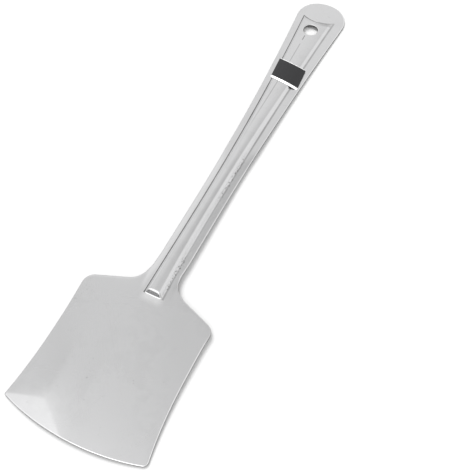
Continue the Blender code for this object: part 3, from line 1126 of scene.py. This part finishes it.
@dataclass(frozen=True)
class SteelFinish:
    """Smooth bright stainless sheet with handling smudges, fine scratches and specks.

    Bands and ramps across and along are over x and y of the frame. Those of the foot, the
    tail and the crease are over distances in millimetres, and those of the edge are over
    the share by which its surface has turned from the upper face to the straight cut.
    """

    colour: Colour = (0.62, 0.62, 0.625, 1.0)
    rim_highlight_colour: Colour = (0.86, 0.86, 0.86, 1.0)
    # Dark colour of the real specks and scratches, and of the painted shade
    # on the cut edge, the rim, the rib's feet, the crease and the tail's line
    dirt_and_shade_colour: Colour = (0.05, 0.048, 0.045, 1.0)

    # Smudges, and the fine brushing nearly along the turner
    smudge: Noise = Noise(38.0, 3.0, 0.55)
    smudge_roughness: Ramp = (0.3, 0.7, 0.13, 0.19)
    brushing: Noise = Noise(900.0)
    brushing_turn: float = math.radians(8.0)
    brushing_squeeze: float = 0.06
    brushing_roughness: float = 0.03
    brushing_relief: float = 0.5
    grain: Noise = Noise(2600.0, 2.0, 0.6)
    grain_relief: float = 0.25
    relief_strength: float = 0.35
    relief_depth: float = 4e-6

    # The cut edge with its painted shade, the rim's painted highlight and the rim's painted shade
    cut_ramp: Ramp = (0.50, 0.85, 0.0, 1.0)
    cut_shade: float = 0.95
    cut_roughness: float = 0.25
    # A painted highlight on the rounded rim, which grows towards the right side
    rim_highlight_band: Band = (0.02, 0.12, 0.30, 0.45)
    rim_highlight_across: Ramp = (-0.014, 0.022, 0.0, 1.0)
    # Painted shade on the rim: the blade's left side, its back edge and the bent corner
    rim_shade_ramp: Ramp = (0.10, 0.40, 0.0, 0.6)
    rim_shade_left_across: Ramp = (-0.0335, -0.0315, 1.0, 0.0)
    rim_shade_back_along: Band = (-0.086, -0.080, -0.062, -0.058)
    rim_shade_corner_across: Ramp = (-0.030, 0.010, 0.50, 0.0)
    rim_shade_corner_along: Ramp = (-0.132, -0.126, 1.0, 0.0)

    # A painted reflection on the blade just before the rib's front: the rib's lit front, mirrored
    reflection_across: Band = (-0.0065, -0.0020, 0.0035, 0.0080)
    reflection_along: Band = (-0.0790, -0.0745, -0.0737, -0.0730)
    reflection_share: float = 0.62

    # Specks in patches, and faint clouds
    speck: Noise = Noise(1100.0, 1.0, 0.4)
    speck_ramp: Ramp = (0.70, 0.77, 0.0, 1.0)
    speck_patch: Noise = Noise(90.0)
    speck_patch_ramp: Ramp = (0.50, 0.64, 0.0, 1.0)
    speck_dirt: float = 0.30
    cloud: Noise = Noise(140.0, 3.0, 0.65)
    cloud_ramp: Ramp = (0.35, 0.65, -0.02, 0.02)

    # Scratches
    scratch_runs: tuple[ScratchRun, ...] = (
        ScratchRun(math.radians(24.0), 420.0, 0.018),
        ScratchRun(math.radians(-38.0), 380.0, 0.022),
        ScratchRun(math.radians(71.0), 450.0, 0.015),
    )
    scratch_crest: float = 0.5
    scratch_ramp: Ramp = (0.0, 0.012, 1.0, 0.0)
    scratch_gap_scale: float = 0.37
    scratch_gap_ramp: Ramp = (0.60, 0.68, 0.0, 1.0)
    scratch_dirt: float = 0.08
    scratch_roughness: float = 0.12

    # Painted shade along the fine crease at the rib's left side with its dash, and across the rib's
    # tail
    crease_band: Band = (-0.45, -0.10, 0.10, 0.45)
    crease_along: Ramp = (0.040, 0.062, 0.10, 0.30)
    crease_stop: Ramp = (0.1103, 0.1113, 1.0, 0.0)
    dash_along: Band = (0.1137, 0.1147, 0.1177, 0.1187)
    dash_shade: float = 0.60
    tail_band: Band = (0.8, 1.9, 2.7, 4.2)
    tail_across: Ramp = (-0.004, 0.006, 0.05, 0.26)

    # Painted shade along the rib's feet, and the grit at the right one
    foot_sides: Ramp = (-0.0004, 0.0004, 0.0, 1.0)
    foot_unevenness: Noise = Noise(260.0, 2.0, 0.6)
    foot_uneven_ramp: Ramp = (0.3, 0.7, 0.75, 1.0)
    left_foot_band: Band = (-0.05, 0.15, 0.52, 0.80)
    left_foot_shade: float = 0.97
    right_foot_band: Band = (-0.95, -0.35, 0.10, 0.60)
    right_foot_near: Ramp = (-0.062, -0.054, 0.34, 0.08)
    right_foot_far: Ramp = (-0.030, 0.050, 0.08, 0.38)
    grit: Noise = Noise(1250.0, 2.0, 0.6)
    grit_ramp: Ramp = (0.53, 0.62, 0.0, 0.75)
    grit_band: Band = (-1.0, -0.4, 0.5, 1.2)
    grit_near: Band = (-0.073, -0.066, -0.052, -0.044)
    grit_far: Band = (-0.014, -0.008, 0.014, 0.026)

    def material(self) -> bpy.types.Material:
        """Return the steel's material, on object coordinates and the mesh's attributes.

        Returns:
            The new material.
        """
        material = bpy.data.materials.new("stainless_steel")
        material.use_nodes = True
        nodes = Nodes(material.node_tree)
        place = nodes.add("TexCoord").outputs["Object"]
        smudge = nodes.noise(place, self.smudge)
        streaks = nodes.stretched(place, self.brushing_turn, self.brushing_squeeze)
        brushing = nodes.noise(streaks, self.brushing)
        scratches = self.scratches(nodes, place)
        turned = nodes.mark("cut_edge")
        # The cut face is rougher than the sheet, and its near-black colour is painted shade
        cut = nodes.ramp(turned, self.cut_ramp)
        marks = nodes.greatest(
            nodes.product(cut, self.cut_shade),
            self.rim_shade(nodes, place, turned),
            self.foot_shade_and_grit(nodes, place),
            self.crease_shade(nodes, place),
        )
        marks = nodes.math("ADD", marks, self.mottle(nodes, place, smudge, scratches), True)
        # The steel turns to the brighter colour where highlights are painted
        bright = nodes.mix(self.painted_highlights(nodes, place, turned), self.colour, self.rim_highlight_colour)
        rough = nodes.total(
            nodes.ramp(smudge, self.smudge_roughness),
            nodes.product(brushing, self.brushing_roughness),
            nodes.product(scratches, self.scratch_roughness),
            nodes.product(cut, self.cut_roughness),
        )
        grain = nodes.product(nodes.noise(place, self.grain), self.grain_relief)
        relief = nodes.total(grain, nodes.product(brushing, self.brushing_relief))
        relief = nodes.math("SUBTRACT", relief, scratches)
        bump = nodes.add(
            "Bump", Strength=self.relief_strength, Distance=self.relief_depth, Height=relief
        )
        shader = nodes.add(
            "BsdfPrincipled", Base_Color=nodes.mix(marks, bright, self.dirt_and_shade_colour),
            Metallic=1.0, Roughness=rough, Normal=bump.outputs[0],
        )
        nodes.add("OutputMaterial", Surface=shader.outputs[0])
        return material

    def painted_highlights(self, nodes: Nodes, place: Value, turned: Value) -> Value:
        """Return the painted highlights: the rim's, stronger to the right, and a reflection spot.

        Args:
            nodes: The material's nodes.
            place: The place on the steel.
            turned: How far the edge's surface is turned out.

        Returns:
            The share of the highlight's colour.
        """
        across, along, _ = nodes.axes(place)
        rim = nodes.product(nodes.band(turned, self.rim_highlight_band), nodes.ramp(across, self.rim_highlight_across))
        wide = nodes.band(across, self.reflection_across)
        reflection = nodes.product(wide, nodes.band(along, self.reflection_along), self.reflection_share)
        return nodes.greatest(rim, reflection)

    def rim_shade(self, nodes: Nodes, place: Value, turned: Value) -> Value:
        """Return the painted shade on the rim of the blade's left side, back edge and bent corner.

        Args:
            nodes: The material's nodes.
            place: The place on the steel.
            turned: How far the edge's surface is turned out.

        Returns:
            The share of the dark colour.
        """
        across, along, _ = nodes.axes(place)
        left = nodes.ramp(across, self.rim_shade_left_across)
        back = nodes.band(along, self.rim_shade_back_along)
        beside = nodes.ramp(across, self.rim_shade_corner_across)
        corner = nodes.product(beside, nodes.ramp(along, self.rim_shade_corner_along))
        return nodes.product(nodes.ramp(turned, self.rim_shade_ramp), nodes.greatest(left, back, corner))

    def mottle(self, nodes: Nodes, place: Value, smudge: Value, scratches: Value) -> Value:
        """Return the faint cloudiness of handled sheet, with specks in patches and scratches.

        Args:
            nodes: The material's nodes.
            place: The place on the steel.
            smudge: The noise of the smudges.
            scratches: How far the place lies on a scratch.

        Returns:
            What is added to the share of the dirt's colour.
        """
        specks = nodes.ramp(nodes.noise(place, self.speck), self.speck_ramp)
        patchy = nodes.ramp(nodes.noise(place, self.speck_patch), self.speck_patch_ramp)
        return nodes.total(
            nodes.product(specks, patchy, self.speck_dirt),
            nodes.ramp(nodes.noise(place, self.cloud), self.cloud_ramp),
            nodes.ramp(smudge, self.cloud_ramp),
            nodes.product(scratches, self.scratch_dirt),
        )

    def scratches(self, nodes: Nodes, place: Value) -> Value:
        """Return thin scratches in some directions: the crests of strongly stretched noise.

        Args:
            nodes: The material's nodes.
            place: The place on the steel.

        Returns:
            How far the place lies on a scratch, from 0 to 1.
        """
        lines = []
        for run in self.scratch_runs:
            streaks = nodes.stretched(place, run.turn, run.squeeze)
            height = nodes.noise(streaks, Noise(run.scale, 0.0))
            off_crest = nodes.math("ABSOLUTE", nodes.math("SUBTRACT", height, self.scratch_crest))
            gaps = nodes.noise(streaks, Noise(run.scale * self.scratch_gap_scale, 0.0))
            line = nodes.ramp(off_crest, self.scratch_ramp)
            lines.append(nodes.product(line, nodes.ramp(gaps, self.scratch_gap_ramp)))
        return nodes.greatest(*lines)

    def crease_shade(self, nodes: Nodes, place: Value) -> Value:
        """Return the painted shade of the fine crease along the rib's left side and of the tail's
        line.

        The crease is faint at first, stronger from a little before the label, and ends in a
        short dark dash by the hole. The tail's line is strongest at its right corner.

        Args:
            nodes: The material's nodes.
            place: The place on the steel.

        Returns:
            The share of the dark colour.
        """
        across, along, _ = nodes.axes(place)
        strength = nodes.ramp(along, self.crease_along)
        strength = nodes.product(strength, nodes.ramp(along, self.crease_stop))
        dash = nodes.product(nodes.band(along, self.dash_along), self.dash_shade)
        crease = nodes.band(nodes.mark("crease"), self.crease_band)
        tail = nodes.band(nodes.mark("tail"), self.tail_band)
        return nodes.greatest(
            nodes.product(crease, nodes.greatest(strength, dash)),
            nodes.product(tail, nodes.ramp(across, self.tail_across)),
        )

    def foot_shade_and_grit(self, nodes: Nodes, place: Value) -> Value:
        """Return the painted shade along the rib's feet, and the grit at the right one.

        The left line is unbroken and lies on the wall. The right one is clear by the rib's
        front, faint past it, and comes back past the handle's waist, and grit lies along it
        in two stretches.

        Args:
            nodes: The material's nodes.
            place: The place on the steel.

        Returns:
            The share of the dark colour: painted shade, and dirt where the grit lies.
        """
        across, along, _ = nodes.axes(place)
        inside = nodes.mark("foot")
        uneven = nodes.noise(place, self.foot_unevenness)
        uneven = nodes.ramp(uneven, self.foot_uneven_ramp)
        left = nodes.band(inside, self.left_foot_band)
        left = nodes.product(left, uneven, self.left_foot_shade)
        near = nodes.ramp(along, self.right_foot_near)
        strength = nodes.greatest(near, nodes.ramp(along, self.right_foot_far))
        right = nodes.product(nodes.band(inside, self.right_foot_band), uneven, strength)
        grit = nodes.ramp(nodes.noise(place, self.grit), self.grit_ramp)
        stretches = nodes.greatest(
            nodes.band(along, self.grit_near), nodes.band(along, self.grit_far)
        )
        grit = nodes.product(grit, stretches, nodes.band(inside, self.grit_band))
        side = nodes.ramp(across, self.foot_sides)
        right = nodes.greatest(right, grit)
        return nodes.add("Mix", {"data_type": "FLOAT"}, i0=side, i2=left, i3=right).outputs[0]


@dataclass
class Label:
    """The blank label: a printed film that bends over the rib's crown.

    Its film lies a little above the crown, slanted on the handle. A black field fills it up
    to a white strip on the blade's side and a narrow white margin on the other.
    """

    form: Pressing = field(default_factory=Pressing)
    width: float = 0.0177
    height: float = 0.0161
    thickness: float = 0.0002
    corner_radius: float = 0.0006
    station: float = 0.23545
    aside: float = 0.0009
    end_slant: float = math.radians(-8.6)
    side_lean: float = math.radians(-4.2)
    sag_share: float = 0.9
    sag_drift: float = 0.45
    end_sag_share: float = 0.2
    gap: float = 0.00006
    strip: float = 0.0016
    margin: float = 0.0002
    sharp_angle: float = math.radians(40.0)
    columns: int = 40
    rows: int = 28

    def surface(self, across: Array, along: Array, lift: float) -> Array:
        """Return points of the film: slanted places, sagging away from the rib's middle.

        The sag has a part with the square of the distance from the rib's middle and one with
        its fourth power, which brings the overhanging end down to the flange. Where the film
        sags it also lies a little nearer to the end pad.

        Args:
            across: Places across the film, from its middle.
            along: Places along it.
            lift: Height above the film's underside.

        Returns:
            One row of x, y, z for each place.
        """
        station = self.station + along + across * math.tan(self.end_slant)
        x = self.aside + across + along * math.tan(self.side_lean)
        middle = self.form.rib_middle(station)
        half = self.form.rib_half_width(station)
        square = ((x - middle) / half) ** 2
        crown = self.form.rib_crown * self.form.rib_share(station)
        sag = crown * square * (self.sag_share + self.end_sag_share * square)
        z = self.form.height(station, middle) - sag + self.gap + lift
        y = station + self.sag_drift * sag - self.form.outline.overall_length / 2
        return np.stack([x, y, z], axis=-1)

    def build(self) -> tuple[Array, Array, Array]:
        """Build the film as a closed shell: two faces and a rim.

        Returns:
            The points, the quads, and one pair of print coordinates for each vertex: shares
            of the width and of the height.
        """
        half = self.width / 2
        radius = self.corner_radius
        across = half * np.sin(np.linspace(-math.pi / 2, math.pi / 2, self.columns + 1))
        past = np.clip(np.abs(across) - (half - radius), 0.0, radius)
        reach = self.height / 2 - radius + np.sqrt(radius**2 - past**2)
        along = np.linspace(-1, 1, self.rows + 1)[:, None] * reach
        across = np.broadcast_to(across, along.shape)
        upper = self.surface(across, along, self.thickness).reshape(-1, 3)
        lower = self.surface(across, along, 0.0).reshape(-1, 3)
        index = np.arange(along.size).reshape(along.shape)
        loop = np.concatenate([index[0], index[1:, -1], index[-1, -2::-1], index[-2:0:-1, 0]])
        count = along.size
        rim = np.stack([np.roll(loop, -1), loop, loop + count, np.roll(loop, -1) + count], axis=-1)
        face_quads = quads_of(index)
        quads = np.concatenate([face_quads, face_quads[:, ::-1] + count, rim])
        place = np.stack([across / self.width + 0.5, along / self.height + 0.5], axis=-1)
        place = place.reshape(-1, 2)
        plain = place * np.array([1.0, 0.0])
        return np.concatenate([upper, lower]), quads, np.concatenate([place, plain])

    def make(self, finish: "LabelFinish") -> bpy.types.Object:
        """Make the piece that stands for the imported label, and dress it.

        Args:
            finish: The label's finish.

        Returns:
            The new piece.
        """
        points, quads, place = self.build()
        mesh = make_mesh("label_film", points, quads)
        layer = mesh.uv_layers.new(name="print")
        layer.uv.foreach_set("vector", place[quads.ravel()].astype(np.float32).ravel())
        mesh.set_sharp_from_angle(angle=self.sharp_angle)
        piece = add_piece("label_film", mesh, finish.material(self))
        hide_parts(Node.LABEL.value)
        log.info("%s: %d vertices, %d quads", piece.name, len(points), len(quads))
        return piece


@dataclass(frozen=True)
class LabelFinish:
    """Glossy white film with a plain black printed field."""

    ink: Colour = (0.006, 0.006, 0.007, 1.0)
    white: Colour = (0.90, 0.90, 0.90, 1.0)
    print_softness: float = 0.00012
    grain: Noise = Noise(2500.0, 3.0, 0.6)
    grain_roughness: Ramp = (0.3, 0.7, 0.29, 0.42)
    relief_strength: float = 0.2
    relief_depth: float = 4e-6

    def material(self, label: Label) -> bpy.types.Material:
        """Return the label's material, on the print coordinates of its film.

        Args:
            label: The label, whose strip and margin bound the black field.

        Returns:
            The new material.
        """
        material = bpy.data.materials.new("label_print")
        material.use_nodes = True
        nodes = Nodes(material.node_tree)
        along = nodes.axes(nodes.add("UVMap", {"uv_map": "print"}).outputs[0])[1]
        soft = self.print_softness / label.height
        low = label.strip / label.height
        high = 1 - label.margin / label.height
        inked = nodes.band(along, (low - soft, low + soft, high - soft, high + soft))
        grain = nodes.noise(nodes.add("TexCoord").outputs["Object"], self.grain)
        bump = nodes.add(
            "Bump", Strength=self.relief_strength, Distance=self.relief_depth, Height=grain
        )
        shader = nodes.add(
            "BsdfPrincipled", Base_Color=nodes.mix(inked, self.white, self.ink),
            Roughness=nodes.ramp(grain, self.grain_roughness), Normal=bump.outputs[0],
        )
        nodes.add("OutputMaterial", Surface=shader.outputs[0])
        return material


@dataclass(frozen=True)
class PhotoCamera:
    """The camera of the photograph: its angles, its focal length and its distance.

    The origin of the frame lands at the given pixel of the square photograph. Azimuth is
    counted from -Y towards +X.
    """

    azimuth: float = math.radians(27.45)
    elevation: float = math.radians(59.66)
    roll: float = math.radians(-1.58)
    frame_px: float = 474.0
    focal_px: float = 720.2
    origin_px: tuple[float, float] = (220.64, 185.77)
    distance: float = 0.3833
    sensor_mm: float = 36.0
    nearest: float = 0.01

    def make(self) -> bpy.types.Object:
        """Add the camera and make it the scene's own.

        Returns:
            The camera's object.
        """
        flat = math.cos(self.elevation)
        back = np.array([
            math.sin(self.azimuth) * flat, -math.cos(self.azimuth) * flat, math.sin(self.elevation)
        ])
        level = np.array([math.cos(self.azimuth), math.sin(self.azimuth), 0.0])
        upright = np.cross(back, level)
        right = level * math.cos(self.roll) + upright * math.sin(self.roll)
        up = upright * math.cos(self.roll) - level * math.sin(self.roll)
        middle = self.frame_px / 2
        aside = (self.origin_px[0] - middle) / self.focal_px
        below = (self.origin_px[1] - middle) / self.focal_px
        place = self.distance * (back - aside * right + below * up)
        data = bpy.data.cameras.new("photo_camera")
        data.sensor_width = self.sensor_mm
        data.lens = self.sensor_mm * self.focal_px / self.frame_px
        data.clip_start = self.nearest
        camera = add_object("photo_camera", data)
        turned = np.eye(4)
        turned[:3, :3] = np.stack([right, up, back], axis=1)
        turned[:3, 3] = place
        camera.matrix_world = Matrix(turned.tolist())
        bpy.context.scene.camera = camera
        log.info("%s: lens %.1f mm", camera.name, data.lens)
        return camera


@dataclass(frozen=True)
class Patch:
    """A soft round patch of the white room, brighter or darker than the rest.

    It lies at an azimuth counted from +X towards +Y and an elevation, has its full change of
    radiance within its inner radius, and fades out towards its outer radius.
    """

    azimuth: float
    elevation: float
    inner: float
    outer: float
    change: float

    @property
    def axis(self) -> tuple[float, float, float]:
        """Return the way to the patch's middle.

        Returns:
            The x, y and z of a unit vector.
        """
        azimuth, elevation = math.radians(self.azimuth), math.radians(self.elevation)
        flat = math.cos(elevation)
        return (flat * math.cos(azimuth), flat * math.sin(azimuth), math.sin(elevation))


@dataclass
class Studio:
    """A white sweep in a soft white room, with a broad lamp up to the turner's left."""

    floor_size: float = 6.0
    floor_white: float = 0.50
    # The floor's painted glow, and the patch under the end pad where painted shade replaces it
    floor_glow: float = 0.13
    pad_shade_across: Band = (-0.0095, -0.0085, 0.0085, 0.0095)
    pad_shade_along: Band = (0.1272, 0.1284, 0.140, 0.146)
    room_white: float = 1.16

    # Azimuth, elevation, inner and outer radius in degrees, and the change of radiance
    patches: tuple[Patch, ...] = (
        Patch(114.0, 84.7, 25.0, 35.0, -0.11),
        Patch(85.0, 68.0, 9.5, 25.0, -0.18),
        Patch(87.5, 52.0, 6.0, 18.5, -0.17),
        Patch(152.5, 30.0, 25.0, 51.5, -0.11),
        Patch(145.0, 39.0, 4.0, 15.0, 0.12),
        Patch(165.0, 54.0, 2.0, 14.0, -0.10),
        Patch(152.0, 8.0, 8.0, 19.0, -0.30),
        Patch(108.0, 10.0, 8.0, 21.0, -0.45),
        Patch(-40.0, 25.0, 20.0, 45.0, -0.35),
        Patch(-145.0, 25.0, 20.0, 40.0, -0.35),
        Patch(-112.0, 45.0, 18.0, 47.0, 0.92),
        Patch(-105.0, 2.0, 16.0, 27.0, -1.05),
    )

    key_azimuth: float = math.radians(142.0)
    key_elevation: float = math.radians(50.0)
    key_width: float = math.radians(36.0)
    key_strength: float = 3.2

    def floor(self) -> bpy.types.Object:
        """Add the pale floor as a stage.

        The floor has a faint painted glow of its own, which lightens the shadows, and it is left
        out under the turner's flat end pad as painted shade, seen through the hanging hole.

        Returns:
            The floor's object.
        """
        half = self.floor_size / 2
        points = np.array([[-half, -half, 0], [half, -half, 0], [half, half, 0], [-half, half, 0]])
        mesh = make_mesh("floor", points, np.array([[0, 1, 2, 3]]))
        material = bpy.data.materials.new("pale_floor")
        material.use_nodes = True
        nodes = Nodes(material.node_tree)
        white = self.floor_white
        diffuse = nodes.add("BsdfDiffuse", Color=(white, white, white, 1.0))
        across, along, _ = nodes.axes(nodes.add("TexCoord").outputs["Object"])
        shaded_under_pad = nodes.product(
            nodes.band(along, self.pad_shade_along), nodes.band(across, self.pad_shade_across)
        )
        strength = nodes.ramp(shaded_under_pad, (0.0, 1.0, self.floor_glow, 0.0))
        glow = nodes.add("Emission", Strength=strength)
        both = nodes.add("AddShader", i0=diffuse.outputs[0], i1=glow.outputs[0])
        nodes.add("OutputMaterial", Surface=both.outputs[0])
        mesh.materials.append(material)
        floor = add_object("floor", mesh)
        return floor

    def room(self) -> None:
        """Light the scene by a white room with soft patches, added to its even radiance."""
        world = bpy.data.worlds.new("soft_room")
        bpy.context.scene.world = world
        world.use_nodes = True
        nodes = Nodes(world.node_tree)
        way = nodes.add("TexCoord").outputs["Generated"]
        strength = self.room_white
        for patch in self.patches:
            dot = {"operation": "DOT_PRODUCT"}
            near = nodes.add("VectorMath", dot, i0=way, i1=patch.axis).outputs[1]
            outer, inner = math.cos(math.radians(patch.outer)), math.cos(math.radians(patch.inner))
            strength = nodes.total(nodes.ramp(near, (outer, inner, 0.0, patch.change)), strength)
        shader = nodes.add("Background", Color=(1.0, 1.0, 1.0, 1.0), Strength=strength)
        nodes.add("OutputWorld", Surface=shader.outputs[0])

    def key(self) -> bpy.types.Object:
        """Add the broad lamp, which the steel doesn't mirror, for the shadow on its right.

        Returns:
            The lamp's object.
        """
        data = bpy.data.lights.new("soft_key", "SUN")
        data.energy = self.key_strength
        data.angle = self.key_width
        lamp = add_object("soft_key", data)
        tilt = math.pi / 2 - self.key_elevation
        lamp.rotation_euler = (tilt, 0.0, self.key_azimuth + math.pi / 2)
        lamp.visible_glossy = False
        return lamp

    def make(self) -> None:
        """Build the floor, the room and the lamp, and show colours as they are."""
        self.floor()
        self.room()
        self.key()
        bpy.context.scene.view_settings.view_transform = "Standard"
        bpy.context.scene.view_settings.look = "None"


@dataclass
class Turner:
    """The whole turner: its pressed body and its label."""

    body: PressedBody = field(default_factory=PressedBody)
    label: Label = field(default_factory=Label)
    steel: SteelFinish = field(default_factory=SteelFinish)
    print_finish: LabelFinish = field(default_factory=LabelFinish)

    def make(self) -> list[bpy.types.Object]:
        """Make both pieces."""
        return [self.body.make(self.steel), self.label.make(self.print_finish)]


def main() -> None:
    """Build the turner and its studio."""
    logging.basicConfig(level=logging.INFO, format="%(message)s")
    PhotoCamera().make()
    Turner().make()
    Studio().make()


if __name__ == "__main__":
    main()
